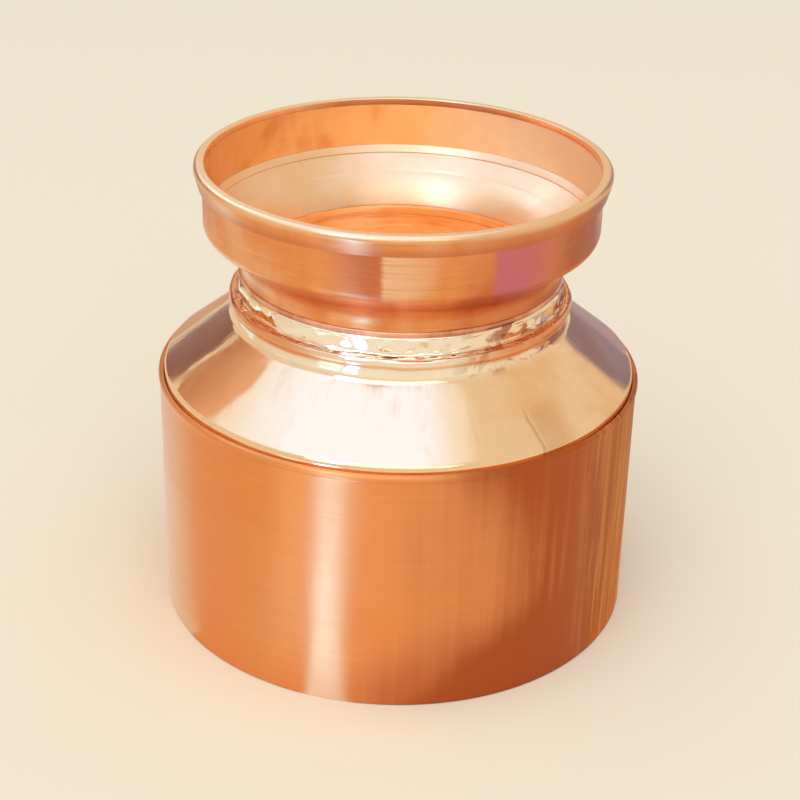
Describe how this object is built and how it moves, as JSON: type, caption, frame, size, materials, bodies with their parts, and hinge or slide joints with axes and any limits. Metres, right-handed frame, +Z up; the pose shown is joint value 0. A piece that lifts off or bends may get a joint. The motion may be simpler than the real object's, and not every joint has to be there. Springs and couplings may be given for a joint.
{
  "type": "copper lota",
  "caption": "Round copper water vessel with a straight body, polished conical shoulder, short beaded neck and a wide flared mouth with a rolled lip.",
  "frame": {"origin": "centre of the flat base, on the surface it stands on", "axes": "+Z up along the vessel's axis, +Y away from the camera, +X to the right in the picture"},
  "size_m": [0.1126, 0.1126, 0.1085],
  "materials": {
    "satin_copper": "satin copper, brushed upright, with faint tarnish",
    "polished_copper": "mirror-polished copper",
    "turned_copper": "lathe-turned copper with fine rings",
    "braze": "dull braze metal"
  },
  "bodies": {
    "root": {"body_wall": "satin_copper", "base_pan": "satin_copper", "base_braze": "braze", "shoulder": "polished_copper", "shoulder_solder": "braze", "neck_funnel": "polished_copper", "neck_solder": "braze", "mouth_collar": "turned_copper", "mouth_solder": "braze", "rim_wire": "turned_copper"}
  },
  "joints": []
}
